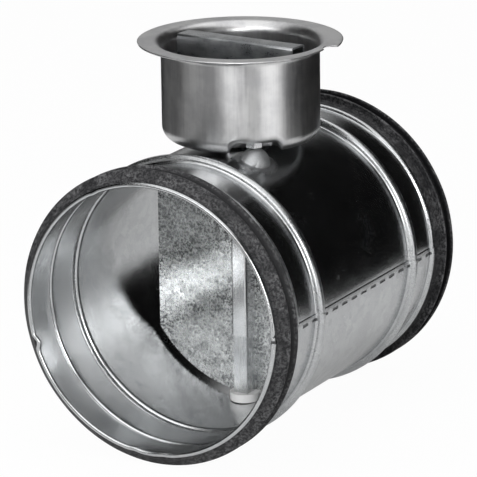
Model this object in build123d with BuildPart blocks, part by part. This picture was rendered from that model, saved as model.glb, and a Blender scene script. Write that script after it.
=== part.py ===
"""Volume control damper for round duct: spigoted tube, turning blade, handle in an insulation cup.

Millimetres.  The origin is where the duct's centre line (Y) crosses the spindle's
centre line (Z).  +Z runs up through the cup, -Y is the front spigot, and the tube's
lap seam lies on the +X side.
"""
from build123d import *
import os
from math import atan, cos, degrees, radians, sin, sqrt

os.makedirs("parts", exist_ok=True)

# ---------------------------------------------------------------- driving dimensions
# Duct tube
duct_length = 172.1          # end to end
duct_radius = 62.2           # outside of the plain tube
duct_sheet = 0.6
hem_radius = 1.1             # rolled edge at each end
spigot_length = 37.0         # from each end to the foot of the stop bead
bead_height = 3.2
bead_width = 7.0
bead_foot = 1.3              # radius where the bead rises from the tube
ridge_height = 1.6           # small roll that keeps the seal in its place
ridge_width = 4.0
ridge_foot = 0.7
lap_width = 7.0              # lap seam along the tube
lap_rise = 0.4
lap_edge = 1.3               # height of the lap's upper edge above the centre line

# Seals
seal_start = 2.2             # from the duct's end to the seal
seal_width = 14.9
seal_base = 1.4
seal_gap = 0.2               # between the seal and the ridge behind it
lip_reach = 5.0              # height of each sealing lip above the tube
lip_lean = 2.4
lip_root = 2.4
lip_tip = 1.1
lip_starts = (0.8, 7.6)      # where each lip leaves the base

# Insulation cup
cup_radius = 35.6            # outside of the wall
cup_depth = 45.1
cup_sheet = 0.7
cup_corner = 6.6
cup_flare = 4.3              # radius under the lip
cup_lip_radius = 46.1
cup_lip_drop = 1.1           # the lip's edge is turned down this far
lip_notch_angle = 2.0        # small notch in the lip's edge
lip_notch_width = 6.0
lip_notch_depth = 4.0
gasket_radius = 14.0
gasket_thickness = 0.8       # at the crown of the duct

# Recess in the cup's bottom corner, with the lock screw in it
lock_azimuth = -50.0         # direction of the recess about the spindle, from +X
recess_width = 22.8
recess_height = 5.1          # clear height over the underside of the cup's floor
recess_corner = 3.6
recess_start = 20.0          # its inner end, from the spindle's centre line
lock_edge = 4.9              # from the quadrant's rim in to the lock screw
boss_offset = 1.7            # domed boss pressed out of the duct, outward of the lock screw
boss_radius = 6.6
boss_sink = 0.3              # the dome's centre below the tube's surface

# Spindle and its bearings
spindle_size = 7.0           # square bar
spindle_overhang = 1.5       # past the retaining clip
spindle_chamfer = 0.7        # at its lower end
bush_flange_radius = 6.8
bush_flange_height = 3.8
bush_neck_radius = 5.0
bush_neck_stand = 0.3        # each neck stands this far out of what it passes through
hub_radius = 9.0
bottom_washer_radius = 8.5
bottom_washer_thickness = 0.8
clip_radius = 6.9
clip_thickness = 0.6

# Blade and the saddle that holds it on the spindle
blade_clearance = 2.1        # between the blade's round edge and the tube's bore
blade_trim = 11.0            # cut off each side of the round blade
blade_sheet = 1.0
blade_gap = 0.3              # between the blade and the bushes' flanges
saddle_length = 60.0
saddle_sheet = 0.55
saddle_tab_length = 8.0
saddle_tab_fold = 3.0
saddle_tab_place = 22.0      # from the middle of the saddle to each pair of tabs

# Handle
handle_length = 61.0
handle_width = 10.4
handle_depth = 24.0
handle_sheet = 0.9
handle_corner = 1.2
leg_length = 28.0            # the two sides reach the base plate over this length
handle_rivet_spacing = 20.0  # along the handle
foot_reach = 6.0
base_plate_thickness = 1.5
base_plate_radius = 20.0
quadrant_clearance = 1.5     # between the quadrant's rim and the cup's wall
slot_margin = 8.0            # plate left beyond each end of the slot, in degrees

# Fasteners
lock_screw_radius = 2.0
lock_screw_end = 0.1         # the lock screw stops this far above the nut's lower face
screw_head_radius = 4.0
screw_head_height = 2.5
screw_head_round = 1.2
lock_washer_radius = 4.8
lock_washer_thickness = 0.8
nut_across_flats = 7.0
nut_height = 2.4
spindle_screw_radius = 2.0
spindle_screw_length = 14.0
spindle_head_radius = 3.7
spindle_washer_radius = 4.0
spindle_washer_thickness = 1.0
driver_slot_width = 1.0
driver_slot_depth = 1.1
rivet_radius = 1.6
rivet_head_radius = 3.0
rivet_tail_radius = 2.4
rivet_head_height = 1.0
rivet_taper = 30.0           # degrees, of a formed head's side
cup_rivet_place = 20.0       # each side of the spindle, along the duct's crown

# Clearances
running_gap = 0.08           # round neck in its bore, radial
sliding_gap = 0.1            # turning faces that pass each other
passing_gap = 0.4            # holes that something only passes through, radial
square_gap = 0.05            # square spindle in its holes
thread_gap = 0.05            # a screw in its thread, radial

# Motion, in degrees about the spindle
rest_angle = -4.0            # the blade as built, from fully closed
open_angle = -90.0
closed_angle = 0.0

# ---------------------------------------------------------------- worked-out places
duct_bore = duct_radius - duct_sheet
blade_radius = duct_bore - blade_clearance
blade_half_width = blade_radius - blade_trim
duct_half = duct_length / 2
straight_end = duct_half - hem_radius
ridge_place = seal_start + seal_width + seal_gap + ridge_width / 2
bead_place = spigot_length + bead_width / 2
lap_reach = duct_half - seal_start - seal_width - seal_gap / 2
# every roll: distance from the end, height, width, foot radius
rolls = ((bead_place, bead_height, bead_width, bead_foot),
         (ridge_place, ridge_height, ridge_width, ridge_foot))

floor_under = duct_radius + gasket_thickness
floor_top = floor_under + cup_sheet
cup_top = floor_under + cup_depth
recess_roof = floor_under + recess_height

bush_seat = sqrt(duct_bore ** 2 - bush_flange_radius ** 2) - sliding_gap
bush_face = bush_seat - bush_flange_height
upper_neck_top = floor_top + bush_neck_stand
lower_neck_end = duct_radius + bush_neck_stand

plate_under = recess_roof + cup_sheet + sliding_gap
plate_top = plate_under + base_plate_thickness
lower_washer_top = -lower_neck_end
clip_top = lower_washer_top - bottom_washer_thickness
spindle_low = clip_top - clip_thickness - spindle_overhang
spindle_high = plate_top - sliding_gap
bore_radius = bush_neck_radius + running_gap

quadrant_radius = cup_radius - cup_sheet - quadrant_clearance
lock_reach = quadrant_radius - lock_edge
boss_reach = lock_reach + boss_offset
lock_x = lock_reach * cos(radians(lock_azimuth))
lock_y = lock_reach * sin(radians(lock_azimuth))
boss_x = boss_reach * cos(radians(lock_azimuth))
boss_y = boss_reach * sin(radians(lock_azimuth))
boss_z = sqrt(duct_radius ** 2 - boss_x ** 2) - boss_sink
nut_low = recess_roof - nut_height
lock_washer_low = plate_top + sliding_gap
lock_head_low = lock_washer_low + lock_washer_thickness

square_hole = spindle_size + 2 * square_gap
rivet_tail_top = sqrt(duct_bore ** 2 - rivet_tail_radius ** 2)
saddle_inside = spindle_size / 2 + square_gap
saddle_outside = saddle_inside + saddle_sheet
blade_front = spindle_size / 2

# The turning pieces are built on planes turned to the rest angle.
turned = Plane.XY.rotated((0, 0, rest_angle))
turned_face = Plane(turned.origin, x_dir=turned.x_dir, z_dir=-turned.y_dir)
turned_side = Plane(turned.origin, x_dir=turned.y_dir, z_dir=turned.x_dir)


# ---------------------------------------------------------------- shared shapes
def roll_outline(centre, height, width, foot, inset):
    """One outward roll of the tube's wall: foot arc, crest arc, foot arc."""
    half = width / 2
    turn = 2 * atan(height / half)
    crest = half / sin(turn) - foot
    foot_arc = foot + inset
    crest_arc = crest - inset
    top = duct_radius + height - crest
    for side in (-1, 1):
        ThreePointArc(
            (duct_radius - inset, centre + side * half),
            (duct_radius + foot - foot_arc * cos(turn / 2),
             centre + side * (half - foot_arc * sin(turn / 2))),
            (duct_radius + foot - foot_arc * cos(turn),
             centre + side * (half - foot_arc * sin(turn))))
    ThreePointArc(
        (top + crest_arc * cos(turn), centre - crest_arc * sin(turn)),
        (top + crest_arc, centre),
        (top + crest_arc * cos(turn), centre + crest_arc * sin(turn)))


def tube_outline(inset, reach):
    """The tube's wall line at a depth below its outside, from -reach to +reach."""
    cursor = -reach
    places = [(-duct_half + place, height, width, foot) for place, height, width, foot in rolls]
    places += [(-place, height, width, foot) for place, height, width, foot in places]
    for place, height, width, foot in sorted(places):
        Line((duct_radius - inset, cursor), (duct_radius - inset, place - width / 2))
        roll_outline(place, height, width, foot, inset)
        cursor = place + width / 2
    Line((duct_radius - inset, cursor), (duct_radius - inset, reach))


def seal_outline(side):
    """Half section of a two-lipped seal; side is -1 at the front and +1 at the rear."""
    def at(height, along):
        return (duct_radius + height, side * (duct_half - seal_start - along))

    points = [at(0, 0), at(seal_base * 0.7, 0)]
    for start in lip_starts:
        tip = start + lip_lean
        points += [at(seal_base, start), at(lip_reach - lip_tip / 3, tip),
                   at(lip_reach, tip + lip_tip / 2), at(lip_reach - lip_tip / 3, tip + lip_tip),
                   at(seal_base, start + lip_root)]
    points += [at(seal_base * 0.7, seal_width), at(0, seal_width)]
    Polyline(*points, close=True)


def sector_outline(outer, start, end):
    """A sector about the spindle, from one angle to another."""
    CenterArc((0, 0), outer, start, end - start)
    Polyline((outer * cos(radians(start)), outer * sin(radians(start))), (0, 0),
             (outer * cos(radians(end)), outer * sin(radians(end))))


def arc_slot_outline(reach, half_width, start, end):
    """A round-ended slot about the spindle, from one angle to another."""
    for radius in (reach - half_width, reach + half_width):
        CenterArc((0, 0), radius, start, end - start)
    for angle, first in ((start, start + 180), (end, end)):
        CenterArc((reach * cos(radians(angle)), reach * sin(radians(angle))), half_width, first, 180)


def recess_outline(grow):
    """Arch-shaped mouth of the recess, standing on the underside of the cup's floor."""
    width = recess_width / 2 + grow
    height = recess_height + grow
    FilletPolyline((-width, -1), (-width, height), (width, height), (width, -1),
                   radius=recess_corner + grow)
    Line((width, -1), (-width, -1))


def round_hole(radius, x, y, low, high):
    """Cut a vertical round hole between two heights."""
    with Locations((x, y, (low + high) / 2)):
        Cylinder(radius, high - low, mode=Mode.SUBTRACT)


def square_washer(radius, top, thickness):
    """Disc with a square hole for the spindle, its upper face at the height of top."""
    with BuildSketch(turned.offset(top)) as disc:
        Circle(radius)
        Rectangle(square_hole, square_hole, mode=Mode.SUBTRACT)
    extrude(disc.sketch, amount=-thickness)


def square_bush(side, neck_end):
    """Flanged bush on the square spindle; side is +1 above and -1 below."""
    with BuildSketch(turned.offset(side * bush_face)) as flange:
        Circle(bush_flange_radius)
        Rectangle(square_hole, square_hole, mode=Mode.SUBTRACT)
    extrude(flange.sketch, amount=side * bush_flange_height)
    with BuildSketch(turned.offset(side * bush_seat)) as neck:
        Circle(bush_neck_radius)
        Rectangle(square_hole, square_hole, mode=Mode.SUBTRACT)
    extrude(neck.sketch, amount=side * (neck_end - bush_seat))


# ---------------------------------------------------------------- duct tube
with BuildPart() as duct_shell:
    with BuildSketch(Plane.XY):
        with BuildLine():
            tube_outline(0, straight_end)
            Polyline((duct_radius, straight_end), (0, straight_end),
                     (0, -straight_end), (duct_radius, -straight_end))
        make_face()
    revolve(axis=Axis.Y)
    with Locations((boss_x, boss_y, boss_z)):
        Sphere(boss_radius)
    with BuildSketch(Plane.XY):
        with BuildLine():
            tube_outline(duct_sheet, straight_end)
            Polyline((duct_bore, straight_end), (0, straight_end),
                     (0, -straight_end), (duct_bore, -straight_end))
        make_face()
    revolve(axis=Axis.Y, mode=Mode.SUBTRACT)
    with Locations((boss_x, boss_y, boss_z)):
        Sphere(boss_radius - duct_sheet, mode=Mode.SUBTRACT)
    with BuildSketch(Plane.XY):
        for side in (-1, 1):
            with Locations((duct_radius - hem_radius, side * straight_end)):
                Circle(hem_radius)
    revolve(axis=Axis.Y)
    with BuildSketch(Plane.XY.rotated((0, -degrees(atan(lap_edge / duct_radius)), 0))):
        with BuildLine():
            tube_outline(0, lap_reach)
            tube_outline(-lap_rise, lap_reach)
            for side in (-1, 1):
                Line((duct_radius, side * lap_reach), (duct_radius + lap_rise, side * lap_reach))
        make_face()
    revolve(axis=Axis.Y, revolution_arc=degrees(lap_width / duct_radius))
    round_hole(bore_radius, 0, 0, -duct_radius - bead_height, duct_radius + bead_height)
    for side in (-1, 1):
        round_hole(rivet_radius + thread_gap, 0, side * cup_rivet_place, 0, duct_radius + bead_height)
duct_shell.part.label = "duct_shell"
export_step(duct_shell.part, "parts/duct_shell.step")

# ---------------------------------------------------------------- seals
with BuildPart() as front_seal:
    with BuildSketch(Plane.XY):
        with BuildLine():
            seal_outline(-1)
        make_face()
    revolve(axis=Axis.Y)
front_seal.part.label = "front_seal"
export_step(front_seal.part, "parts/front_seal.step")

with BuildPart() as rear_seal:
    with BuildSketch(Plane.XY):
        with BuildLine():
            seal_outline(1)
        make_face()
    revolve(axis=Axis.Y)
rear_seal.part.label = "rear_seal"
export_step(rear_seal.part, "parts/rear_seal.step")

# ---------------------------------------------------------------- insulation cup
flare_centre = cup_radius + cup_flare
flare_low = cup_top - cup_sheet - cup_flare
recess_plane = Plane((0, 0, floor_under), x_dir=(-sin(radians(lock_azimuth)), cos(radians(lock_azimuth)), 0),
                     z_dir=(cos(radians(lock_azimuth)), sin(radians(lock_azimuth)), 0))


with BuildPart() as cup_cavity:
    with BuildSketch(Plane.XZ):
        with BuildLine():
            Polyline((0, cup_top), (0, floor_top), (cup_radius - cup_corner, floor_top))
            RadiusArc((cup_radius - cup_corner, floor_top),
                      (cup_radius - cup_sheet, floor_under + cup_corner), -(cup_corner - cup_sheet))
            Line((cup_radius - cup_sheet, floor_under + cup_corner), (cup_radius - cup_sheet, flare_low))
            RadiusArc((cup_radius - cup_sheet, flare_low), (flare_centre, cup_top),
                      cup_flare + cup_sheet)
            Line((flare_centre, cup_top), (0, cup_top))
        make_face()
    revolve(axis=Axis.Z)
    with BuildSketch(recess_plane.offset(recess_start - cup_sheet)):
        with BuildLine():
            recess_outline(cup_sheet)
        make_face()
    extrude(amount=cup_radius, mode=Mode.SUBTRACT)

with BuildPart() as handle_cup:
    with BuildSketch(Plane.XZ):
        with BuildLine():
            Polyline((0, cup_top), (0, floor_under), (cup_radius - cup_corner, floor_under))
            RadiusArc((cup_radius - cup_corner, floor_under), (cup_radius, floor_under + cup_corner),
                      -cup_corner)
            Line((cup_radius, floor_under + cup_corner), (cup_radius, flare_low))
            RadiusArc((cup_radius, flare_low), (flare_centre, cup_top - cup_sheet), cup_flare)
            Polyline((flare_centre, cup_top - cup_sheet), (cup_lip_radius - cup_sheet, cup_top - cup_sheet),
                     (cup_lip_radius - cup_sheet, cup_top - cup_lip_drop),
                     (cup_lip_radius, cup_top - cup_lip_drop))
            Line((cup_lip_radius, cup_top - cup_lip_drop), (cup_lip_radius, cup_top - cup_sheet))
            RadiusArc((cup_lip_radius, cup_top - cup_sheet), (cup_lip_radius - cup_sheet, cup_top),
                      -cup_sheet)
            Line((cup_lip_radius - cup_sheet, cup_top), (0, cup_top))
        make_face()
    revolve(axis=Axis.Z)
    add(cup_cavity.part, mode=Mode.SUBTRACT)
    with BuildSketch(recess_plane.offset(recess_start)):
        with BuildLine():
            recess_outline(0)
        make_face()
    extrude(amount=cup_radius, mode=Mode.SUBTRACT)
    with BuildSketch(Plane.XY.offset(cup_top)):
        with PolarLocations(cup_lip_radius, 1, start_angle=lip_notch_angle):
            SlotOverall(lip_notch_width + lip_notch_depth, lip_notch_depth * 2, rotation=90)
    extrude(amount=-2 * cup_lip_drop, mode=Mode.SUBTRACT)
    round_hole(bush_neck_radius + passing_gap, 0, 0, floor_under - cup_sheet, floor_top + cup_sheet)
    round_hole(lock_screw_radius + passing_gap, lock_x, lock_y, recess_roof - cup_sheet, plate_under)
    for side in (-1, 1):
        round_hole(rivet_radius + thread_gap, 0, side * cup_rivet_place,
                   floor_under - cup_sheet, floor_top + cup_sheet)
handle_cup.part.label = "handle_cup"
export_step(handle_cup.part, "parts/handle_cup.step")

with BuildPart() as cup_gasket:
    with BuildSketch(Plane.XY):
        Circle(gasket_radius)
    extrude(amount=floor_under)
    with BuildSketch(Plane.XZ):
        Circle(duct_radius)
    extrude(amount=2 * gasket_radius, both=True, mode=Mode.SUBTRACT)
    round_hole(bore_radius, 0, 0, 0, floor_under)
cup_gasket.part.label = "cup_gasket"
export_step(cup_gasket.part, "parts/cup_gasket.step")

with BuildPart() as cup_rivets:
    for side in (-1, 1):
        with BuildSketch(Plane.XY.offset(rivet_tail_top)):
            with Locations((0, side * cup_rivet_place)):
                Circle(rivet_radius)
        extrude(amount=floor_top - rivet_tail_top)
        with BuildSketch(Plane.XY.offset(floor_top)):
            with Locations((0, side * cup_rivet_place)):
                Circle(rivet_head_radius)
        extrude(amount=rivet_head_height, taper=rivet_taper)
        with BuildSketch(Plane.XY.offset(rivet_tail_top)):
            with Locations((0, side * cup_rivet_place)):
                Circle(rivet_tail_radius)
        extrude(amount=-rivet_head_height)
cup_rivets.part.label = "cup_rivets"
export_step(cup_rivets.part, "parts/cup_rivets.step")

# ---------------------------------------------------------------- spindle and bearings
with BuildPart() as spindle:
    with BuildSketch(turned.offset(spindle_low)):
        Rectangle(spindle_size, spindle_size)
    extrude(amount=spindle_high - spindle_low)
    chamfer(spindle.faces().sort_by(Axis.Z)[0].edges(), spindle_chamfer)
    round_hole(spindle_screw_radius + thread_gap, 0, 0, spindle_high - spindle_screw_length, spindle_high)
spindle.part.label = "spindle"
export_step(spindle.part, "parts/spindle.step")


with BuildPart() as upper_bush:
    square_bush(1, upper_neck_top)
upper_bush.part.label = "upper_bush"
export_step(upper_bush.part, "parts/upper_bush.step")

with BuildPart() as lower_bush:
    square_bush(-1, lower_neck_end)
lower_bush.part.label = "lower_bush"
export_step(lower_bush.part, "parts/lower_bush.step")


with BuildPart() as hub_spacer:
    square_washer(hub_radius, plate_under, plate_under - upper_neck_top)
hub_spacer.part.label = "hub_spacer"
export_step(hub_spacer.part, "parts/hub_spacer.step")

with BuildPart() as bottom_washer:
    square_washer(bottom_washer_radius, lower_washer_top, bottom_washer_thickness)
bottom_washer.part.label = "bottom_washer"
export_step(bottom_washer.part, "parts/bottom_washer.step")

with BuildPart() as retaining_clip:
    square_washer(clip_radius, clip_top, clip_thickness)
retaining_clip.part.label = "retaining_clip"
export_step(retaining_clip.part, "parts/retaining_clip.step")

# ---------------------------------------------------------------- blade
with BuildPart() as blade:
    with BuildSketch(turned_face.offset(-blade_front - blade_sheet)):
        Circle(blade_radius)
        Rectangle(2 * blade_half_width, 2 * blade_radius, mode=Mode.INTERSECT)
        for side in (-1, 1):
            with Locations((0, side * blade_radius)):
                Rectangle(2 * (bush_flange_radius + blade_gap),
                          2 * (blade_radius - bush_face + blade_gap), mode=Mode.SUBTRACT)
            for height in (-saddle_tab_place, saddle_tab_place):
                with Locations((side * (saddle_inside + saddle_sheet / 2), height)):
                    Rectangle(saddle_sheet + 2 * thread_gap, saddle_tab_length + 2 * thread_gap,
                              mode=Mode.SUBTRACT)
    extrude(amount=blade_sheet)
blade.part.label = "blade"
export_step(blade.part, "parts/blade.step")

with BuildPart() as blade_saddle:
    with BuildSketch(turned.offset(-saddle_length / 2)):
        with BuildLine():
            FilletPolyline((-saddle_outside, blade_front), (-saddle_outside, -saddle_outside),
                           (saddle_outside, -saddle_outside), (saddle_outside, blade_front),
                           radius=2 * saddle_sheet)
            Polyline((-saddle_inside, blade_front), (-saddle_inside, -saddle_inside),
                     (saddle_inside, -saddle_inside), (saddle_inside, blade_front))
            for side in (-1, 1):
                Line((side * saddle_inside, blade_front), (side * saddle_outside, blade_front))
        make_face()
    extrude(amount=saddle_length)
    for height in (-saddle_tab_place, saddle_tab_place):
        with BuildSketch(turned.offset(height - saddle_tab_length / 2)):
            for side in (-1, 1):
                with Locations((side * (saddle_inside + saddle_sheet / 2), blade_front)):
                    Rectangle(saddle_sheet, blade_sheet + saddle_sheet, align=(Align.CENTER, Align.MIN))
                with Locations((side * (saddle_inside + saddle_tab_fold / 2), blade_front + blade_sheet)):
                    Rectangle(saddle_tab_fold, saddle_sheet, align=(Align.CENTER, Align.MIN))
        extrude(amount=saddle_tab_length)
blade_saddle.part.label = "blade_saddle"
export_step(blade_saddle.part, "parts/blade_saddle.step")

# ---------------------------------------------------------------- handle
# The slot passes the lock screw from closed to open; its angles are in the turned frame.
slot_low = lock_azimuth - closed_angle
slot_high = lock_azimuth - open_angle
with BuildPart() as base_plate:
    with BuildSketch(turned.offset(plate_under)):
        Circle(base_plate_radius)
        with BuildLine():
            sector_outline(quadrant_radius, slot_low - slot_margin, slot_high + slot_margin)
        make_face()
        Rectangle(square_hole, square_hole, mode=Mode.SUBTRACT)
        with BuildLine():
            arc_slot_outline(lock_reach, lock_screw_radius + passing_gap, slot_low, slot_high)
        make_face(mode=Mode.SUBTRACT)
        with GridLocations(handle_rivet_spacing, handle_width + foot_reach, 2, 2):
            Circle(rivet_radius + thread_gap, mode=Mode.SUBTRACT)
    extrude(amount=base_plate_thickness)
base_plate.part.label = "base_plate"
export_step(base_plate.part, "parts/base_plate.step")

with BuildPart() as handle:
    with BuildSketch(turned_side):
        with Locations((0, cup_top)):
            Rectangle(handle_width, handle_depth, align=(Align.CENTER, Align.MAX))
        fillet(vertices().group_by(Axis.Z)[-1], handle_corner)
        with Locations((0, cup_top - handle_sheet)):
            Rectangle(handle_width - 2 * handle_sheet, handle_depth, align=(Align.CENTER, Align.MAX),
                      mode=Mode.SUBTRACT)
    extrude(amount=handle_length / 2, both=True)
    with BuildSketch(turned_side):
        for side in (-1, 1):
            with Locations((side * (handle_width - handle_sheet) / 2, plate_top)):
                Rectangle(handle_sheet, cup_top - handle_depth / 2 - plate_top,
                          align=(Align.CENTER, Align.MIN))
            with Locations((side * (handle_width / 2 - handle_sheet), plate_top)):
                Rectangle(foot_reach + handle_sheet, handle_sheet,
                          align=(Align.MIN if side > 0 else Align.MAX, Align.MIN))
    extrude(amount=leg_length / 2, both=True)
    with BuildSketch(turned.offset(plate_top)):
        with GridLocations(handle_rivet_spacing, handle_width + foot_reach, 2, 2):
            Circle(rivet_radius + thread_gap)
    extrude(amount=handle_sheet, mode=Mode.SUBTRACT)
handle.part.label = "handle"
export_step(handle.part, "parts/handle.step")

with BuildPart() as handle_rivets:
    with BuildSketch(turned.offset(plate_under)):
        with GridLocations(handle_rivet_spacing, handle_width + foot_reach, 2, 2):
            Circle(rivet_radius)
    extrude(amount=base_plate_thickness + handle_sheet)
    with BuildSketch(turned.offset(plate_top + handle_sheet)):
        with GridLocations(handle_rivet_spacing, handle_width + foot_reach, 2, 2):
            Circle(rivet_tail_radius)
    extrude(amount=rivet_head_height, taper=rivet_taper)
    with BuildSketch(turned.offset(plate_under)):
        with GridLocations(handle_rivet_spacing, handle_width + foot_reach, 2, 2):
            Circle(rivet_tail_radius)
    extrude(amount=-rivet_head_height)
handle_rivets.part.label = "handle_rivets"
export_step(handle_rivets.part, "parts/handle_rivets.step")

# ---------------------------------------------------------------- screws
with BuildPart() as spindle_washer:
    with BuildSketch(turned.offset(plate_top)):
        Circle(spindle_washer_radius)
        Circle(spindle_screw_radius + passing_gap, mode=Mode.SUBTRACT)
    extrude(amount=spindle_washer_thickness)
spindle_washer.part.label = "spindle_washer"
export_step(spindle_washer.part, "parts/spindle_washer.step")

spindle_head_low = plate_top + spindle_washer_thickness
with BuildPart() as spindle_screw:
    with BuildSketch(turned.offset(spindle_head_low)):
        Circle(spindle_head_radius)
    extrude(amount=screw_head_height)
    fillet(spindle_screw.faces().sort_by(Axis.Z)[-1].edges(), screw_head_round)
    with BuildSketch(turned.offset(spindle_head_low)):
        Circle(spindle_screw_radius)
    extrude(amount=-spindle_screw_length)
    with BuildSketch(turned.offset(spindle_head_low + screw_head_height)):
        Rectangle(2 * spindle_head_radius, driver_slot_width)
    extrude(amount=-driver_slot_depth, mode=Mode.SUBTRACT)
spindle_screw.part.label = "spindle_screw"
export_step(spindle_screw.part, "parts/spindle_screw.step")

with BuildPart() as lock_nut:
    with BuildSketch(Plane.XY.offset(nut_low)):
        with Locations((lock_x, lock_y)):
            RegularPolygon(nut_across_flats / 2, 6, major_radius=False)
            Circle(lock_screw_radius + thread_gap, mode=Mode.SUBTRACT)
    extrude(amount=nut_height)
lock_nut.part.label = "lock_nut"
export_step(lock_nut.part, "parts/lock_nut.step")

with BuildPart() as lock_washer:
    with BuildSketch(Plane.XY.offset(lock_washer_low)):
        with Locations((lock_x, lock_y)):
            Circle(lock_washer_radius)
            Circle(lock_screw_radius + thread_gap, mode=Mode.SUBTRACT)
    extrude(amount=lock_washer_thickness)
lock_washer.part.label = "lock_washer"
export_step(lock_washer.part, "parts/lock_washer.step")

lock_screw_low = nut_low + lock_screw_end
with BuildPart() as lock_screw:
    with BuildSketch(Plane.XY.offset(lock_head_low)):
        with Locations((lock_x, lock_y)):
            Circle(screw_head_radius)
    extrude(amount=screw_head_height)
    fillet(lock_screw.faces().sort_by(Axis.Z)[-1].edges(), screw_head_round)
    with BuildSketch(Plane.XY.offset(lock_screw_low)):
        with Locations((lock_x, lock_y)):
            Circle(lock_screw_radius)
    extrude(amount=lock_head_low - lock_screw_low)
    with BuildSketch(Plane.XY.offset(lock_head_low + screw_head_height)):
        with Locations((lock_x, lock_y)):
            Rectangle(2 * screw_head_radius, driver_slot_width)
            Rectangle(driver_slot_width, 2 * screw_head_radius)
    extrude(amount=-driver_slot_depth, mode=Mode.SUBTRACT)
lock_screw.part.label = "lock_screw"
export_step(lock_screw.part, "parts/lock_screw.step")
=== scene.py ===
# Volume control damper for round duct: the dressed model, its materials, the studio and the camera.
from math import atan, atan2, cos, degrees, hypot, radians, sin, sqrt

import bmesh
import bpy
from mathutils import Matrix, Vector, noise


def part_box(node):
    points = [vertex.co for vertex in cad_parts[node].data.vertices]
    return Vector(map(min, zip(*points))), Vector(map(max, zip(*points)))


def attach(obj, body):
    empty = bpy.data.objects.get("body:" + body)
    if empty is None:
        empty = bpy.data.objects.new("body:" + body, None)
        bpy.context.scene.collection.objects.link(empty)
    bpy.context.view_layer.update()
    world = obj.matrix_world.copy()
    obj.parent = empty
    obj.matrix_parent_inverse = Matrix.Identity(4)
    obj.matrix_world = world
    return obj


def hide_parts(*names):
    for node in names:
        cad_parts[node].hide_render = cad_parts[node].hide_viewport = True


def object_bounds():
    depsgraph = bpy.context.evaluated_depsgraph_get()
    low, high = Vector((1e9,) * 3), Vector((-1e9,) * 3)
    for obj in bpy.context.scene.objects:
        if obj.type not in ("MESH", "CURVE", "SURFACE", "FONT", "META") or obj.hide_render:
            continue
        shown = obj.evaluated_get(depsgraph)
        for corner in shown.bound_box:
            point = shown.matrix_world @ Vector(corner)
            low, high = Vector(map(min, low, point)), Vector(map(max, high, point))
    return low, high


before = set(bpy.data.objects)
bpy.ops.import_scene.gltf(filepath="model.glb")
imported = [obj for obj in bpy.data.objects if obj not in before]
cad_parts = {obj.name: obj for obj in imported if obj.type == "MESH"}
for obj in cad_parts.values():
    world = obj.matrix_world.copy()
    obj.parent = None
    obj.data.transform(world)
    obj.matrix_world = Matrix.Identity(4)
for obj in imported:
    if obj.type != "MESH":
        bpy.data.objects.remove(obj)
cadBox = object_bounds()
mm = 0.001
bossCentre = (19.41, -23.13, 58.79)  # the domed boss under the lock screw, in millimetres
scene = bpy.context.scene
print("frame loaded:", len(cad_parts), "nodes")


# node helpers
def fill(tree, node, values):
    for key, value in values.items():
        socket = node.inputs[key]
        if isinstance(value, bpy.types.NodeSocket):
            tree.links.new(value, socket)
        elif socket.type == "RGBA" and len(value) == 3:
            socket.default_value = (*value, 1.0)
        else:
            socket.default_value = value
    return node


def addNode(tree, kind, values=None, **settings):
    node = tree.nodes.new("ShaderNode" + kind)
    for key, value in settings.items():
        setattr(node, key, value)
    return fill(tree, node, values or {})


def emptyTree(owner):
    # the node tree of a material or a world, with its first nodes taken out
    owner.use_nodes = True
    owner.node_tree.nodes.clear()
    return owner.node_tree


def calc(tree, operation, *values):
    return addNode(tree, "Math", dict(enumerate(values)), operation=operation).outputs[0]


def ramp(tree, value, low, high, toLow=0.0, toHigh=1.0):
    values = {"Value": value, "From Min": low, "From Max": high, "To Min": toLow, "To Max": toHigh}
    return addNode(tree, "MapRange", values, interpolation_type="SMOOTHSTEP").outputs["Result"]


def noiseMap(tree, vector, scale, detail=3.0, roughness=0.55):
    return addNode(tree, "TexNoise", {"Vector": vector, "Scale": scale, "Detail": detail,
                                      "Roughness": roughness}).outputs["Fac"]


def blendColours(tree, factor, first, second):
    return addNode(tree, "Mix", {0: factor, 6: first, 7: second}, data_type="RGBA").outputs[2]


def bump(tree, height, distance, strength=1.0, under=None):
    values = {"Height": height, "Distance": distance, "Strength": strength}
    if under is not None:
        values["Normal"] = under
    return addNode(tree, "Bump", values).outputs["Normal"]


def radiusOf(tree, place):
    # distance from the duct's centre line
    flat = addNode(tree, "VectorMath", {0: place, 1: (1, 0, 1)}, operation="MULTIPLY").outputs[0]
    return addNode(tree, "VectorMath", {0: flat}, operation="LENGTH").outputs["Value"]


def stretched(tree, vector, scales):
    return addNode(tree, "Mapping", {"Vector": vector, "Scale": scales}).outputs[0]


def useGroup(tree, group, values):
    return addNode(tree, "Group", values, node_tree=group).outputs


def newGroup(name, inputs, outputs):
    group = bpy.data.node_groups.new(name, "ShaderNodeTree")
    for label, kind, value in inputs:
        socket = group.interface.new_socket(label, in_out="INPUT", socket_type="NodeSocket" + kind)
        if value is not None:
            socket.default_value = value
    for label in outputs:
        group.interface.new_socket(label, in_out="OUTPUT", socket_type="NodeSocketFloat")
    return group, group.nodes.new("NodeGroupInput").outputs, group.nodes.new("NodeGroupOutput").inputs


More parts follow.
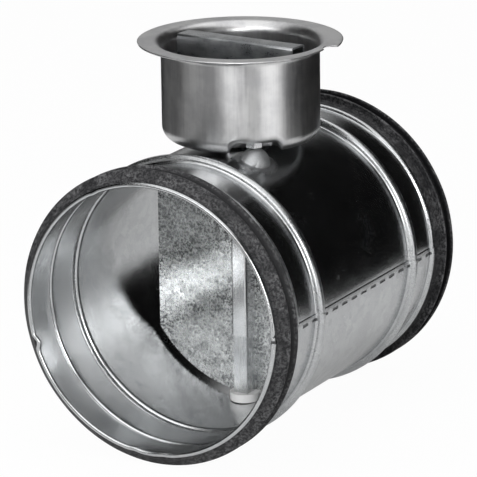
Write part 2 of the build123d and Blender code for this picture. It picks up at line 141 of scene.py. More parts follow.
# effects that several finishes share
# zinc crystals: Tone changes from crystal to crystal, Speckle is the fine glitter in them
spangle, spangleIn, spangleOut = newGroup(
    "spangle", (("Vector", "Vector", None), ("Crystal", "Float", 260.0), ("Glitter", "Float", 2600.0)),
    ("Tone", "Speckle"))
warp = addNode(spangle, "TexNoise", {"Vector": spangleIn["Vector"], "Scale": 420.0, "Detail": 2.0})
warped = addNode(spangle, "VectorMath", {0: warp.outputs["Color"], 1: (0.004, 0.004, 0.004),
                                         2: spangleIn["Vector"]}, operation="MULTIPLY_ADD")
crystals = addNode(spangle, "TexVoronoi", {"Vector": warped.outputs[0], "Scale": spangleIn["Crystal"]})
crystalTone = addNode(spangle, "SeparateColor", {"Color": crystals.outputs["Color"]})
glitter = noiseMap(spangle, spangleIn["Vector"], spangleIn["Glitter"], 2.0, 0.7)
spangle.links.new(crystalTone.outputs[0], spangleOut["Tone"])
spangle.links.new(ramp(spangle, glitter, 0.35, 0.68), spangleOut["Speckle"])

# handling marks: broad cloudy patches, and small smudges in them
handling, handlingIn, handlingOut = newGroup(
    "handling", (("Vector", "Vector", None), ("Patch", "Float", 45.0)), ("Clouds", "Smudges"))
clouds = noiseMap(handling, handlingIn["Vector"], handlingIn["Patch"], 4.0, 0.6)
smudges = noiseMap(handling, handlingIn["Vector"], 240.0, 5.0, 0.7)
handling.links.new(ramp(handling, clouds, 0.3, 0.7), handlingOut["Clouds"])
handling.links.new(ramp(handling, smudges, 0.52, 0.7), handlingOut["Smudges"])
print("shared effects built")


# finishes
def newFinish(name):
    material = bpy.data.materials.new(name)
    material.use_nodes = True
    tree = material.node_tree
    return material, tree, tree.nodes["Principled BSDF"], addNode(tree, "TexCoord").outputs["Object"]


# where the duct's sheet is stretched, and so duller, in millimetres
worked = {"bossFrom": 5, "bossTo": 13, "boss": 0.3, "beadFrom": 62.5, "beadTo": 63.5, "bead": 0.12}


def workedSheet(tree, place, rough):
    centre = [value * mm for value in bossCentre]
    away = addNode(tree, "VectorMath", {0: place, 1: centre}, operation="DISTANCE").outputs["Value"]
    onBoss = ramp(tree, away, worked["bossFrom"] * mm, worked["bossTo"] * mm, worked["boss"], 0.0)
    onBeads = ramp(tree, radiusOf(tree, place), worked["beadFrom"] * mm, worked["beadTo"] * mm,
                   0.0, worked["bead"])
    return calc(tree, "ADD", calc(tree, "ADD", rough, onBoss), onBeads)


# the lap seam's stitches, in millimetres: one row at a height, beyond an X and below a radius, so not on
# the beads; dash is in shares of the pitch; shade and dark paint shade into the pressed stitches
stitch = {"pitch": 9.3, "height": -0.8, "shift": 2.6, "wander": 2.2, "waver": 0.9, "row": (0.35, 0.8),
          "dash": (0.19, 0.25), "below": (63.0, 63.3), "beyond": (50, 52), "depth": 0.3,
          "shade": 0.85, "dark": (0.03, 0.03, 0.032)}


def seamStitches(tree, place):
    # pressed stitches in a row under the edge of the lap seam, none of them quite alike
    parts = addNode(tree, "SeparateXYZ", {"Vector": place}).outputs
    pitch = stitch["pitch"] * mm
    uneven = calc(tree, "SUBTRACT", noiseMap(tree, place, 330.0, 2.0), 0.5)
    across = calc(tree, "ABSOLUTE", calc(tree, "SUBTRACT", parts["Z"], stitch["height"] * mm))
    across = calc(tree, "MULTIPLY_ADD", uneven, stitch["waver"] * mm, across)
    shifted = calc(tree, "MULTIPLY_ADD", uneven, stitch["wander"] * mm,
                   calc(tree, "SUBTRACT", parts["Y"], stitch["shift"] * mm))
    along = calc(tree, "PINGPONG", shifted, pitch / 2)
    row = ramp(tree, across, *[width * mm for width in stitch["row"]], 1.0, 0.0)
    dash = ramp(tree, along, *[pitch * share for share in stitch["dash"]])
    flat = ramp(tree, radiusOf(tree, place), *[radius * mm for radius in stitch["below"]], 1.0, 0.0)
    side = calc(tree, "MULTIPLY", flat, ramp(tree, parts["X"], *[x * mm for x in stitch["beyond"]]))
    return calc(tree, "MULTIPLY", calc(tree, "MULTIPLY", row, dash), side)


def zincFinish(name, look):
    # hot-dip zinc: crystals and glitter in the colour, gloss and surface
    material, tree, shader, place = newFinish(name)
    sizes = {"Crystal": look["crystal"], "Glitter": look["glitter"]}
    zinc = useGroup(tree, spangle, {"Vector": place, **sizes})
    marks = useGroup(tree, handling, {"Vector": place, "Patch": 38.0})
    tone, speckle = zinc["Tone"], zinc["Speckle"]
    grey = calc(tree, "MULTIPLY_ADD", tone, 0.35, calc(tree, "MULTIPLY", speckle, 0.65))
    colour = blendColours(tree, grey, look["dark"], look["light"])
    rough = calc(tree, "ADD", ramp(tree, speckle, 0.0, 1.0, *look["roughness"]),
                 calc(tree, "MULTIPLY", marks["Clouds"], look["cloudy"]))
    normal = bump(tree, speckle, look["grain"] * mm, 0.5)
    normal = bump(tree, tone, 0.02 * mm, 0.3, normal)
    if look.get("seamed"):
        rough = workedSheet(tree, place, rough)
        # the stitches' near-black colour is painted shade in their pressed dents
        pressed = seamStitches(tree, place)
        shade = calc(tree, "MULTIPLY", pressed, stitch["shade"])
        colour = blendColours(tree, shade, colour, stitch["dark"])
        normal = bump(tree, calc(tree, "SUBTRACT", 1.0, pressed), stitch["depth"] * mm, 1.0, normal)
    shader.inputs["Metallic"].default_value = 1.0
    fill(tree, shader, {"Base Color": colour, "Roughness": rough, "Normal": normal})
    return material


def satinFinish(name, look):
    # drawn or rolled steel; lines stretches the grain along X, Y and Z
    material, tree, shader, place = newFinish(name)
    marks = useGroup(tree, handling, {"Vector": place, "Patch": 60.0})
    grain = noiseMap(tree, stretched(tree, place, look["lines"]), 1.0, 4.0, 0.65)
    pores = noiseMap(tree, place, 1800.0, 2.0, 0.6)
    tone = calc(tree, "MULTIPLY_ADD", marks["Clouds"], 0.4, calc(tree, "MULTIPLY", grain, 0.6))
    colour = blendColours(tree, ramp(tree, tone, 0.25, 0.75), look["dark"], look["light"])
    rough = calc(tree, "MULTIPLY_ADD", marks["Smudges"], 0.06,
                 calc(tree, "MULTIPLY_ADD", pores, 0.05, ramp(tree, grain, 0.3, 0.7, *look["roughness"])))
    normal = bump(tree, grain, 0.04 * mm, 0.3, bump(tree, pores, 0.03 * mm, 0.35))
    shader.inputs["Metallic"].default_value = 1.0
    fill(tree, shader, {"Base Color": colour, "Roughness": rough, "Normal": normal})
    return material


def rubberFinish(name, look):
    # dust lies on the tips of the lips and on the outer faces; the grooves between are kept bare and black,
    # which is painted shade in the grooves
    material, tree, shader, place = newFinish(name)
    dust = ramp(tree, noiseMap(tree, place, 800.0, 5.0, 0.75), 0.42, 0.62)
    smear = ramp(tree, noiseMap(tree, place, 130.0, 3.0, 0.5), 0.36, 0.64)
    radius = radiusOf(tree, place)
    along = calc(tree, "ABSOLUTE", addNode(tree, "SeparateXYZ", {"Vector": place}).outputs["Y"])
    tips = ramp(tree, radius, look["tipFrom"] * mm, (look["tipFrom"] + 1) * mm, 0.04, 1.0)
    face = ramp(tree, along, look["faceFrom"] * mm, (look["faceFrom"] + look["fade"]) * mm, 0.0, 0.9)
    back = ramp(tree, along, look["backTo"] * mm, (look["backTo"] + look["fade"]) * mm, 0.9, 0.0)
    # the mask keeps the grooves between the lips at the bare black colour: painted shade in the grooves,
    # real dust elsewhere
    outer = calc(tree, "MAXIMUM", calc(tree, "MAXIMUM", tips, face), back)
    dusty = calc(tree, "MULTIPLY", calc(tree, "MULTIPLY_ADD", smear, 0.65, 0.35),
                 calc(tree, "MULTIPLY", outer, dust))
    fill(tree, shader, {"Base Color": blendColours(tree, dusty, look["clean"], look["dusty"]),
                        "Roughness": ramp(tree, dusty, 0.0, 1.0, 0.5, 0.8), "Specular IOR Level": 0.2,
                        "Normal": bump(tree, noiseMap(tree, place, 900.0), 0.08 * mm, 0.5)})
    return material


def nylonFinish(name, look):
    material, tree, shader, place = newFinish(name)
    haze = noiseMap(tree, place, 300.0)
    fill(tree, shader, {"Base Color": blendColours(tree, haze, look["shade"], look["white"]),
                        "Roughness": ramp(tree, haze, 0.3, 0.7, 0.38, 0.5),
                        "Normal": bump(tree, haze, 0.05 * mm, 0.4)})
    return material


ductZinc = zincFinish("ductZinc", {
    "dark": (0.43, 0.44, 0.45), "light": (0.63, 0.64, 0.645), "roughness": (0.07, 0.2), "cloudy": 0.08,
    "crystal": 230.0, "glitter": 2300.0, "grain": 0.02, "seamed": True})
bladeZinc = zincFinish("bladeZinc", {
    "dark": (0.1, 0.104, 0.108), "light": (0.86, 0.87, 0.87), "roughness": (0.14, 0.36), "cloudy": 0.06,
    "crystal": 420.0, "glitter": 1000.0, "grain": 0.1})
saddleZinc = zincFinish("saddleZinc", {
    "dark": (0.5, 0.51, 0.52), "light": (0.68, 0.69, 0.69), "roughness": (0.1, 0.22), "cloudy": 0.05,
    "crystal": 300.0, "glitter": 2300.0, "grain": 0.02})
cupSteel = satinFinish("cupSteel", {
    "dark": (0.50, 0.50, 0.51), "light": (0.66, 0.66, 0.66), "roughness": (0.26, 0.34),
    "lines": (700.0, 700.0, 40.0)})
handleSteel = satinFinish("handleSteel", {
    "dark": (0.22, 0.23, 0.24), "light": (0.46, 0.47, 0.48), "roughness": (0.24, 0.34),
    "lines": (30.0, 1500.0, 300.0)})
plateSteel = satinFinish("plateSteel", {
    "dark": (0.42, 0.43, 0.44), "light": (0.62, 0.63, 0.63), "roughness": (0.25, 0.4),
    "lines": (200.0, 200.0, 200.0)})
barSteel = satinFinish("barSteel", {
    "dark": (0.45, 0.46, 0.47), "light": (0.66, 0.67, 0.67), "roughness": (0.16, 0.3),
    "lines": (500.0, 500.0, 30.0)})
screwZinc = satinFinish("screwZinc", {
    "dark": (0.55, 0.56, 0.57), "light": (0.74, 0.75, 0.76), "roughness": (0.14, 0.28),
    "lines": (400.0, 400.0, 400.0)})
rubber = rubberFinish("rubber", {
    "clean": (0.01, 0.01, 0.011), "dusty": (0.11, 0.11, 0.113),
    "tipFrom": 65.5, "faceFrom": 80.6, "backTo": 74.0, "fade": 0.6})
nylon = nylonFinish("nylon", {"shade": (0.78, 0.78, 0.77), "white": (0.9, 0.9, 0.9)})
print("finishes built")


def only(kind, parts):
    return [part for part in parts if isinstance(part, kind)]


# outlines: a pen in the XZ plane, X outward and Z along the turning axis, in millimetres
def penDown(x, z):
    bm = bmesh.new()
    return {"bm": bm, "tip": bm.verts.new((x * mm, 0, z * mm))}


def penLine(pen, x, z, steps=1):
    stride = (Vector((x * mm, 0, z * mm)) - pen["tip"].co) / steps
    for _ in range(steps):
        pen["tip"] = bmesh.ops.extrude_vert_indiv(pen["bm"], verts=[pen["tip"]])["verts"][0]
        pen["tip"].co += stride


def penArc(pen, x, z, turn, steps):
    # turn in degrees, clockwise with X to the right and Z up
    made = bmesh.ops.spin(pen["bm"], geom=[pen["tip"]], cent=(x * mm, 0, z * mm), axis=(0, 1, 0),
                          angle=radians(turn), steps=steps)
    pen["tip"] = only(bmesh.types.BMVert, made["geom_last"])[0]


def softOutline(corners):
    # a closed outline; each corner is (x, z, how far back it is rounded)
    bm = bmesh.new()
    points = [bm.verts.new((x * mm, 0, z * mm)) for x, z, soft in corners]
    bm.faces.new(points)
    for point, (x, z, soft) in zip(points, corners):
        if soft:
            bmesh.ops.bevel(bm, geom=[point], offset=soft * mm, offset_type="OFFSET", affect="VERTICES",
                            segments=4, profile=0.5, material=-1)
    bmesh.ops.delete(bm, geom=bm.faces[:], context="FACES_ONLY")
    return bm


def rotateAll(bm, angle, axis):
    bmesh.ops.rotate(bm, verts=bm.verts[:], cent=(0, 0, 0), matrix=Matrix.Rotation(radians(angle), 3, axis))


def turnAbout(bm, steps, start=0.0, sweep=360.0, geom=None, merge=False):
    # spins an outline about the turning axis and returns its last copy
    if start:
        rotateAll(bm, start, "Z")
    return bmesh.ops.spin(bm, geom=geom or bm.verts[:] + bm.edges[:], cent=(0, 0, 0), axis=(0, 0, 1),
                          angle=radians(sweep), steps=steps, use_merge=merge)["geom_last"]


def layAlongDuct(bm):
    # from the turning axis to the duct's centre line
    rotateAll(bm, -90, "X")


def bumpOut(first, second, blend):
    # the larger of two heights, with a rounded change from one to the other
    near = max(blend - abs(first - second), 0.0) / blend
    return max(first, second) + near * near * blend / 4


def smooth(value, low, high):
    t = min(max((value - low) / (high - low), 0.0), 1.0)
    return t * t * (3 - 2 * t)


def makePiece(bm, name, finish, body, nodes, sharp=50.0, wall=None):
    # wall is the sheet's thickness, half of it on each side of the faces
    bmesh.ops.remove_doubles(bm, verts=bm.verts[:], dist=0.0005 * mm)
    bmesh.ops.recalc_face_normals(bm, faces=bm.faces[:])
    mesh = bpy.data.meshes.new(name)
    bm.to_mesh(mesh)
    bm.free()
    mesh.materials.append(finish)
    mesh.shade_smooth()
    mesh.set_sharp_from_angle(angle=radians(sharp))
    piece = bpy.data.objects.new(name, mesh)
    scene.collection.objects.link(piece)
    if wall:
        thicken = piece.modifiers.new("wall", "SOLIDIFY")
        thicken.thickness = wall * mm
        thicken.offset = 0.0
    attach(piece, body)
    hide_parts(*nodes)
    print("piece made:", name, len(mesh.polygons), "faces")
    return piece


def dress(finish, *nodes):
    for node in nodes:
        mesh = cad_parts[node].data
        mesh.materials.clear()
        mesh.materials.append(finish)


# the duct's tube, in millimetres and degrees
tube = {"sheet": 0.6, "half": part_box("duct_shell")[1].y / mm, "curlRadius": 0.8, "curlTurn": 250,
        "ridge": {"place": 66.75, "height": 1.6, "width": 4.0, "foot": 0.7, "steps": 5},
        "bead": {"place": 45.55, "height": 3.2, "width": 7.0, "foot": 1.3, "steps": 8},
        "steps": 256, "curlSteps": 12, "endSteps": 5, "middleSteps": 14,
        "seamAngle": 1.2, "lapRise": 0.45, "lapFade": 16.0, "waves": ((28.0, 0.06), (90.0, 0.024)),
        "bossRadius": 6.4, "bossBlend": 3.2, "bossReach": 11.0, "bossCuts": 4}
tube["radius"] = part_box("duct_shell")[1].z / mm - tube["bead"]["height"]
# small dents in the hems: the end they are in, angle, half width in degrees, depth
hemDents = ((-1, 197.0, 3.4, 1.7), (-1, 116.0, 2.5, 0.35), (-1, 1.0, 2.0, 0.45), (-1, 262.0, 4.0, 0.4),
            (-1, 275.0, 5.0, 0.3), (1, 80.0, 4.0, 0.4), (1, 200.0, 3.0, 0.6))


def penRoll(pen, place, roll):
    # a rolled rib: a foot, the crest and the other foot, each a tangent arc
    half = roll["width"] / 2
    turn = 2 * atan(roll["height"] / half)
    crest = half / sin(turn) - roll["foot"]
    steps = roll["steps"]
    penArc(pen, tube["radius"] + roll["foot"], place - half, degrees(turn), steps)
    penArc(pen, tube["radius"] + roll["height"] - crest, place, -2 * degrees(turn), 2 * steps)
    penArc(pen, tube["radius"] + roll["foot"], place + half, degrees(turn), steps)


def tubeOutline():
    middle = tube["radius"] - tube["sheet"] / 2
    curl = tube["curlRadius"]
    end = tube["half"] - curl - tube["sheet"] / 2
    hemCentre = middle - curl
    spare = radians(360 - tube["curlTurn"])
    pen = penDown(hemCentre + curl * cos(spare), -end + curl * sin(spare))
    penArc(pen, hemCentre, -end, -tube["curlTurn"], tube["curlSteps"])
    for side, roll, steps in ((-1, tube["ridge"], tube["endSteps"]), (-1, tube["bead"], tube["endSteps"]),
                              (1, tube["bead"], tube["middleSteps"]), (1, tube["ridge"], tube["endSteps"])):
        place = side * roll["place"]
        penLine(pen, middle, place - roll["width"] / 2, steps)
        penRoll(pen, place, roll)
    penLine(pen, middle, end, tube["endSteps"])
    penArc(pen, hemCentre, end, -tube["curlTurn"], tube["curlSteps"])
    return pen["bm"]


def outwardAt(point):
    return Vector((point.co.x, 0, point.co.z)).normalized()


def workSheet(bm, firstPoints, lastPoints):
    # the lap seam, where the sheet below lies over the sheet above, the sheet's waves and the dents
    for point in bm.verts:
        angle = degrees(atan2(point.co.z, point.co.x))
        below = (tube["seamAngle"] - angle) % 360
        if point in firstPoints:
            below = 0.0
        if point in lastPoints:
            below = 360.0
        push = tube["lapRise"] * max(1 - below / tube["lapFade"], 0.0) ** 2
        for scale, depth in tube["waves"]:
            push += depth * noise.noise(point.co * scale)
        for side, where, width, depth in hemDents:
            reach = smooth(side * point.co.y / mm, tube["half"] - 4, tube["half"] - 1)
            if reach > 0:
                near = 1 - min(abs((angle - where + 180) % 360 - 180) / width, 1.0)
                push -= depth * smooth(near, 0.0, 1.0) * reach
        point.co += outwardAt(point) * push * mm


def raiseBoss(bm):
    # a ball pressed out of the sheet, on finer faces than the rest
    centre = Vector(bossCentre) * mm
    within = tube["bossReach"] * mm
    around = [edge for edge in bm.edges
              if ((edge.verts[0].co + edge.verts[1].co) / 2 - centre).length < within]
    bmesh.ops.subdivide_edges(bm, edges=around, cuts=tube["bossCuts"], use_grid_fill=True)
    for point in bm.verts:
        reach = point.co - centre
        out = outwardAt(point)
        along = reach.dot(out)
        aside = (reach - out * along).length
        if aside < within and point.co.z > 0:
            dome = sqrt(max((tube["bossRadius"] * mm) ** 2 - aside ** 2, 0.0))
            point.co += out * (bumpOut(along / mm, dome / mm, tube["bossBlend"]) * mm - along)


def ductTube():
    bm = tubeOutline()
    firstEdges = bm.edges[:]
    last = turnAbout(bm, tube["steps"], start=-tube["seamAngle"])
    lastEdges = only(bmesh.types.BMEdge, last)
    layAlongDuct(bm)
    workSheet(bm, {point for edge in firstEdges for point in edge.verts},
              {point for edge in lastEdges for point in edge.verts})
    bmesh.ops.bridge_loops(bm, edges=firstEdges + lastEdges)
    raiseBoss(bm)
    return makePiece(bm, "ductTube", ductZinc, "duct", ["duct_shell"], wall=tube["sheet"])


ductTube()


# the rubber seals: a flat band with two leaning lips
seal = {"start": 2.2, "width": 14.9, "base": 1.4, "bevelled": 0.7, "reach": 5.0, "tip": 1.1, "lean": 2.4,
        "root": 2.4, "lips": (0.8, 7.6), "shoulder": 0.5, "crown": 0.45, "steps": 240,
        "wave": 0.25, "waveScale": 55.0, "waveFrom": 64, "waveFull": 67}


def ductSeal(name, side, node):
    floorRadius = tube["radius"]
    base, tipRadius = floorRadius + seal["base"], floorRadius + seal["reach"]
    bandEdge = floorRadius + seal["base"] * seal["bevelled"]
    corners = [(floorRadius, 0.0, 0.0), (bandEdge, 0.0, 0.3)]
    for start in seal["lips"]:
        tip = start + seal["lean"]
        corners += [(base, start, 0.5),
                    (tipRadius - seal["shoulder"], tip - 0.15, 0.3),
                    (tipRadius, tip + seal["tip"] * seal["crown"], 0.3),
                    (tipRadius - seal["shoulder"], tip + seal["tip"], 0.3),
                    (base, start + seal["root"], 0.4)]
    corners += [(bandEdge, seal["width"], 0.3), (floorRadius, seal["width"], 0.0)]
    edge = tube["half"] - seal["start"]
    bm = softOutline([(x, side * (edge - z), soft) for x, z, soft in corners])
    turnAbout(bm, seal["steps"], merge=True)
    layAlongDuct(bm)
    for point in bm.verts:
        lip = smooth(hypot(point.co.x, point.co.z) / mm, seal["waveFrom"], seal["waveFull"])
        point.co.y += noise.noise(point.co * seal["waveScale"]) * seal["wave"] * lip * mm
    return makePiece(bm, name, rubber, "duct", [node], sharp=60)


ductSeal("frontSeal", -1, "front_seal")
ductSeal("rearSeal", 1, "rear_seal")


# the insulation cup
cup = {"radius": 35.25, "sheet": 0.7, "floor": 63.35, "corner": 6.25, "flare": 4.65, "boreRadius": 5.4,
       "lipEdge": 45.9, "lipDrop": 0.15, "lipRound": 0.3, "fineFloor": (18.0, 21.0), "fineWall": 5.0,
       "recessAngle": -50.0, "recessWidth": 11.75, "recessHeight": 5.1, "recessCorner": 3.9,
       "recessFrom": 18.8, "recessFull": 20.2, "recessTop": 12.0,
       "recessFoot": 1.2, "recessRound": 3.0, "recessSoft": 1.0, "recessFade": 0.6,
       "fineStart": -80.0, "fineSweep": 96.0, "fineSteps": 256, "coarseSteps": 152}
cup["top"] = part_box("handle_cup")[1].z / mm - cup["sheet"] / 2
# how much is cut from the lip's edge, by angle: trimmed ever deeper, then a gap, then whole again
lipCuts = ((-32, 0.0), (-24, 0.9), (-13, 2.3), (-2, 3.1), (-0.5, 4.2), (1, 5.0), (5.5, 5.0), (7, 3.6),
           (9.5, 0.0))


def recessAt(aside):
    # height of the arch at a distance from its middle
    corner, width = cup["recessCorner"], cup["recessWidth"]
    foot = cup["recessHeight"] - corner
    if aside > width:
        return foot * (1 - smooth(aside, width, width + cup["recessFoot"]))
    return foot + sqrt(corner ** 2 - max(aside - width + corner, 0.0) ** 2)


def recessEdge(aside, height):
    # how far the round edge of the arch pulls the wall inward there
    beyond = max(aside - cup["recessWidth"] + cup["recessCorner"], 0.0)
    above = max(height - cup["recessHeight"] + cup["recessCorner"], 0.0)
    away = min(max(hypot(beyond, above) - cup["recessCorner"], 0.0), cup["recessRound"])
    return cup["recessRound"] - sqrt(cup["recessRound"] ** 2 - (cup["recessRound"] - away) ** 2)


def lipCut(angle):
    for (start, before), (end, after) in zip(lipCuts, lipCuts[1:]):
        if start <= angle < end:
            return before + (after - before) * (angle - start) / (end - start)
    return 0.0


def cupOutline():
    pen = penDown(cup["boreRadius"], cup["floor"])
    cornerCentre = cup["radius"] - cup["corner"]
    cornerTop = cup["floor"] + cup["corner"]
    flareLow = cup["top"] - cup["flare"]
    penLine(pen, cup["fineFloor"][0], cup["floor"], 4)
    penLine(pen, cup["fineFloor"][1], cup["floor"], 8)
    penLine(pen, cornerCentre, cup["floor"], 6)
    penArc(pen, cornerCentre, cornerTop, -90, 18)
    penLine(pen, cup["radius"], cornerTop + cup["fineWall"], 8)
    penLine(pen, cup["radius"], flareLow, 10)
    penArc(pen, cup["radius"] + cup["flare"], flareLow, 90, 10)
    penLine(pen, cup["lipEdge"] - cup["lipRound"], cup["top"], 4)
    penLine(pen, cup["lipEdge"], cup["top"] - cup["lipDrop"])
    return pen["bm"]


def insulationCup():
    bm = cupOutline()
    last = turnAbout(bm, cup["fineSteps"], start=cup["fineStart"], sweep=cup["fineSweep"])
    turnAbout(bm, cup["coarseSteps"], sweep=360 - cup["fineSweep"], geom=last)

    direction = Vector((cos(radians(cup["recessAngle"])), sin(radians(cup["recessAngle"])), 0))
    recessTop = cup["floor"] + cup["recessTop"]
    flat = cup["radius"] + cup["flare"]
    for point in bm.verts:
        radius = hypot(point.co.x, point.co.y) / mm
        height = point.co.z / mm
        outward = point.co.dot(direction) / mm
        aside = abs(point.co.y * direction.x - point.co.x * direction.y) / mm
        reach = radius
        if outward > 0 and height < recessTop:
            # the recess: the floor and the corner are pushed up into an arch
            arch = recessAt(aside) * smooth(outward, cup["recessFrom"], cup["recessFull"])
            if arch > 0.01:
                lifted = bumpOut(height, cup["floor"] + arch, cup["recessSoft"])
                height += (lifted - height) * smooth(arch, 0.0, cup["recessFade"])
                point.co.z = height * mm
            reach = min(radius, cup["radius"] - recessEdge(aside, height - cup["floor"]))
        if radius > flat:
            cut = lipCut(degrees(atan2(point.co.y, point.co.x)))
            reach = flat + (radius - flat) * (1 - cut / (cup["lipEdge"] - flat))
        point.co.x *= reach / radius
        point.co.y *= reach / radius
    return makePiece(bm, "insulationCup", cupSteel, "duct", ["handle_cup"],
                     wall=cup["sheet"])


insulationCup()


# the handle: a folded channel on two feet
handle = {"length": 61.0, "width": 10.4, "sheet": 0.9, "channelLow": 84.1, "footReach": 6.0,
          "legLength": 28.0, "corner": 0.75, "cornerSteps": 4, "edge": 0.18, "rest": -4.0,
          "footLow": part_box("handle")[0].z / mm, "top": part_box("handle")[1].z / mm}


def handleOutline():
    # across the handle, from the tip of one foot over the top to the tip of the other
    skin = handle["sheet"] / 2
    out, top, low = handle["width"] / 2 - skin, handle["top"] - skin, handle["footLow"] + skin
    turn, steps = handle["corner"], handle["cornerSteps"]
    pen = penDown(-handle["width"] / 2 - handle["footReach"], low)
    penLine(pen, -out - turn, low)
    penArc(pen, -out - turn, low + turn, -90, steps)
    penLine(pen, -out, handle["channelLow"])
    penLine(pen, -out, top - turn)
    penArc(pen, -out + turn, top - turn, 90, steps)
    penLine(pen, out - turn, top)
    penArc(pen, out - turn, top - turn, 90, steps)
    penLine(pen, out, handle["channelLow"])
    penLine(pen, out, low + turn)
    penArc(pen, out + turn, low + turn, -90, steps)
    penLine(pen, handle["width"] / 2 + handle["footReach"], low)
    return pen["bm"]


def handleChannel():
    bm = handleOutline()
    end, leg = handle["length"] / 2, handle["legLength"] / 2
    bmesh.ops.translate(bm, verts=bm.verts[:], vec=(0, -end * mm, 0))
    row = bm.edges[:]
    for stride in (end - leg, 2 * leg, end - leg):
        grown = bmesh.ops.extrude_edge_only(bm, edges=row)["geom"]
        row = only(bmesh.types.BMEdge, grown)
        bmesh.ops.translate(bm, verts=only(bmesh.types.BMVert, grown), vec=(0, stride * mm, 0))
    # outside the legs nothing reaches below the channel
    below = [face for face in bm.faces if face.calc_center_median().z < handle["channelLow"] * mm
             and abs(face.calc_center_median().y) > leg * mm]
    bmesh.ops.delete(bm, geom=below, context="FACES")
    rotateAll(bm, handle["rest"] - 90, "Z")
    piece = makePiece(bm, "handleChannel", handleSteel, "damper", ["handle"],
                      wall=handle["sheet"])
    soften = piece.modifiers.new("soften", "BEVEL")
    soften.width = handle["edge"] * mm
    soften.segments = 2
    soften.limit_method = "ANGLE"
    soften.angle_limit = radians(40)  # the cut edges, not the rounded folds
    return piece


handleChannel()

# the pieces kept as built, with their finishes
dress(bladeZinc, "blade")
dress(saddleZinc, "blade_saddle")
dress(barSteel, "spindle", "bottom_washer", "retaining_clip")
dress(nylon, "upper_bush", "lower_bush", "hub_spacer")
dress(plateSteel, "base_plate", "cup_rivets", "handle_rivets")
dress(screwZinc, "spindle_screw", "spindle_washer", "lock_screw", "lock_washer", "lock_nut")
dress(rubber, "cup_gasket")
print("kept pieces finished")


# the studio: sizes in metres, whites and lights in shares of plain white
studio = {"floorSize": 6.0, "floorPaint": 0.58, "floorWhite": 0.97, "floorShine": 0.25,
          "tableRadius": 0.36, "shellRadius": 3.0, "dark": 0.005, "fillLight": 0.4}
floorHeight = cadBox[0].z


def stagePiece(bm, name, material):
    mesh = bpy.data.meshes.new(name)
    bm.to_mesh(mesh)
    bm.free()
    mesh.materials.append(material)
    piece = bpy.data.objects.new(name, mesh)
    scene.collection.objects.link(piece)
    return piece


def onlyInReflections(piece):
    piece.visible_camera = piece.visible_diffuse = piece.visible_shadow = False
    piece.visible_transmission = piece.visible_volume_scatter = False
    return piece


def whiteGlow(tree, strength):
    return addNode(tree, "Emission", {"Color": (1, 1, 1), "Strength": strength}).outputs[0]


def whiteFloor():
    # white to the camera, greyer in reflections, with the object's shadow on it
    material = bpy.data.materials.new("whiteFloor")
    tree = emptyTree(material)
    seen = addNode(tree, "LightPath").outputs
    direct = calc(tree, "MAXIMUM", seen["Is Camera Ray"], seen["Is Transmission Ray"])
    mirrored = calc(tree, "MULTIPLY", seen["Is Glossy Ray"], studio["floorShine"])
    share = calc(tree, "MULTIPLY_ADD", direct, studio["floorWhite"], mirrored)
    paint = addNode(tree, "BsdfDiffuse", {"Color": (studio["floorPaint"],) * 3}).outputs[0]
    mixed = addNode(tree, "MixShader", {0: share, 1: paint, 2: whiteGlow(tree, 1.0)})
    addNode(tree, "OutputMaterial", {"Surface": mixed.outputs[0]})
    bm = bmesh.new()
    bmesh.ops.create_grid(bm, x_segments=2, y_segments=2, size=studio["floorSize"])
    bmesh.ops.translate(bm, verts=bm.verts[:], vec=(0, 0, floorHeight))
    return stagePiece(bm, "floor", material)


whiteFloor()

# panels that the metal reflects: azimuth (0 is +X, 90 is +Y), elevation, half width, half height,
# how soft their edge is, light
panels = ((-77, -6, 0.18, 0.38, 0.24, 1.35),     # front
          (-18, -8, 0.29, 0.30, 0.26, 1.55),     # right
          (-91, 33, 0.44, 0.17, 0.15, 2.8),      # above the front
          (-59, 10, 0.17, 0.13, 0.10, 10.5),     # beside the camera
          (-50, -9, 0.20, 0.16, 0.20, 0.2),      # and under that
          (-70, 40, 1.00, 0.50, 0.40, 0.25),     # dim, all round the camera
          (-122, -6, 0.50, 0.40, 0.30, 0.30),    # front left
          (178, -6, 0.40, 0.40, 0.30, 0.08),     # left
          (126, 22, 0.32, 0.44, 0.24, 0.44),     # behind
          (-90, 88, 0.65, 0.90, 0.30, 1.3))      # overhead


def panelLight(tree, look, panel):
    # the light that one panel sends from a direction of view
    azimuth, elevation, halfWidth, halfHeight, edge, light = panel
    a, e = radians(azimuth), radians(elevation)
    ahead = Vector((cos(a) * cos(e), sin(a) * cos(e), sin(e)))
    right = Vector((-sin(a), cos(a), 0))
    up = ahead.cross(right)
    alongAhead, alongRight, alongUp = [
        addNode(tree, "VectorMath", {0: look, 1: axis}, operation="DOT_PRODUCT").outputs["Value"]
        for axis in (ahead, right, up)]
    depth = calc(tree, "MAXIMUM", alongAhead, 0.0001)
    window = light
    for reach, half in ((alongRight, halfWidth), (alongUp, halfHeight)):
        offset = calc(tree, "ABSOLUTE", calc(tree, "DIVIDE", reach, depth))
        inside = ramp(tree, offset, half - edge / 2, half + edge / 2, 1.0, 0.0)
        window = calc(tree, "MULTIPLY", inside, window)
    return calc(tree, "MULTIPLY", ramp(tree, alongAhead, 0.0, 0.02), window)


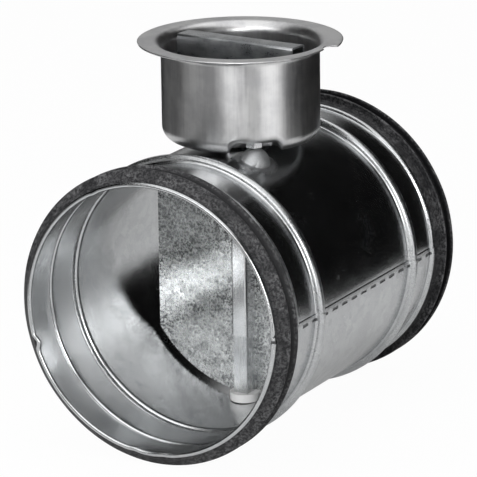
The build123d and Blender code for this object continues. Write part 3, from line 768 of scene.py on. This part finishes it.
def studioShell():
    # seen only by shiny surfaces: a dark room with lit panels
    material = bpy.data.materials.new("studioShell")
    tree = emptyTree(material)
    material.cycles.emission_sampling = "NONE"
    place = addNode(tree, "TexCoord").outputs["Object"]
    look = addNode(tree, "VectorMath", {0: place}, operation="NORMALIZE").outputs[0]
    total = studio["dark"]
    for panel in panels:
        total = calc(tree, "ADD", panelLight(tree, look, panel), total)
    addNode(tree, "OutputMaterial", {"Surface": whiteGlow(tree, total)})
    far, low = studio["shellRadius"] / mm, floorHeight / mm + 0.5
    pen = penDown(studio["tableRadius"] / mm, low)
    penLine(pen, far, low)
    penArc(pen, 0, low, -90, 24)
    bm = pen["bm"]
    turnAbout(bm, 64, merge=True)
    bmesh.ops.remove_doubles(bm, verts=bm.verts[:], dist=1 * mm)
    return onlyInReflections(stagePiece(bm, "studioShell", material))


studioShell()

# a dark card standing behind on the right, along Y, in metres
flag = {"right": 0.168, "behind": 1.0, "lift": 0.3, "halfLength": 0.9, "halfHeight": 0.3}


def blackFlag():
    material = bpy.data.materials.new("blackFlag")
    tree = emptyTree(material)
    addNode(tree, "OutputMaterial", {"Surface": whiteGlow(tree, studio["dark"])})
    bm = bmesh.new()
    bmesh.ops.create_grid(bm, x_segments=1, y_segments=1, size=1.0)
    bmesh.ops.scale(bm, verts=bm.verts[:], vec=(flag["halfLength"], flag["halfHeight"], 1))
    rotateAll(bm, 90, "X")
    rotateAll(bm, 90, "Z")
    place = (flag["right"], flag["behind"], floorHeight + flag["lift"])
    bmesh.ops.translate(bm, verts=bm.verts[:], vec=place)
    return onlyInReflections(stagePiece(bm, "blackFlag", material))


blackFlag()


def studioWorld():
    # white where it is seen, dimmer as light on the object
    world = bpy.data.worlds.new("studioWorld")
    scene.world = world
    tree = emptyTree(world)
    seen = addNode(tree, "LightPath").outputs
    either = calc(tree, "MAXIMUM", seen["Is Camera Ray"],
                  calc(tree, "MAXIMUM", seen["Is Glossy Ray"], seen["Is Transmission Ray"]))
    dim, white = [addNode(tree, "Background", {"Color": (1, 1, 1), "Strength": strength}).outputs[0]
                  for strength in (studio["fillLight"], 1.0)]
    mixed = addNode(tree, "MixShader", {0: either, 1: dim, 2: white})
    addNode(tree, "OutputWorld", {"Surface": mixed.outputs[0]})


studioWorld()

# place and size in metres, power in watts
lamps = {"overhead": ((-0.1, -0.3, 1.3), 1.1, 12.0), "left": ((-1.2, -0.8, 0.7), 0.8, 7.0),
         "right": ((1.2, -0.6, 0.6), 0.8, 5.0), "front": ((0.25, -1.3, 0.5), 0.5, 11.0)}


def hangLamp(name, place, size, power):
    # a soft lamp that points at the object and isn't mirrored in it
    light = bpy.data.lights.new(name, "AREA")
    light.size, light.energy = size, power
    lamp = bpy.data.objects.new(name, light)
    lamp.location = place
    lamp.rotation_mode = "QUATERNION"
    lamp.rotation_quaternion = (-Vector(place)).to_track_quat("-Z", "Y")
    lamp.visible_glossy = False
    scene.collection.objects.link(lamp)


for name, settings in lamps.items():
    hangLamp(name, *settings)
print("studio lit")

# the camera: angles in degrees, distance in metres, shifts in millimetres
camera = {"azimuth": 29.0273, "elevation": 16.1961, "roll": -0.7979, "distance": 1.66825, "lens": 277.11,
          "aside": -2.15, "up": 14.70}
a, e, r = radians(camera["azimuth"]), radians(camera["elevation"]), radians(camera["roll"])
back = Vector((sin(a) * cos(e), -cos(a) * cos(e), sin(e)))
levelRight = Vector((cos(a), sin(a), 0))
levelUp = back.cross(levelRight)
right = levelRight * cos(r) + levelUp * sin(r)
up = levelUp * cos(r) - levelRight * sin(r)
lens = bpy.data.cameras.new("camera")
lens.lens, lens.sensor_width = camera["lens"], 36.0
lens.clip_start, lens.clip_end = 0.05, 50.0
viewer = bpy.data.objects.new("camera", lens)
viewer.matrix_world = Matrix((
    (right.x, up.x, back.x, 0), (right.y, up.y, back.y, 0), (right.z, up.z, back.z, 0), (0, 0, 0, 1)))
viewer.location = back * camera["distance"] + right * camera["aside"] * mm + up * camera["up"] * mm
scene.collection.objects.link(viewer)
scene.camera = viewer
scene.view_settings.view_transform = "Standard"
print("camera placed")
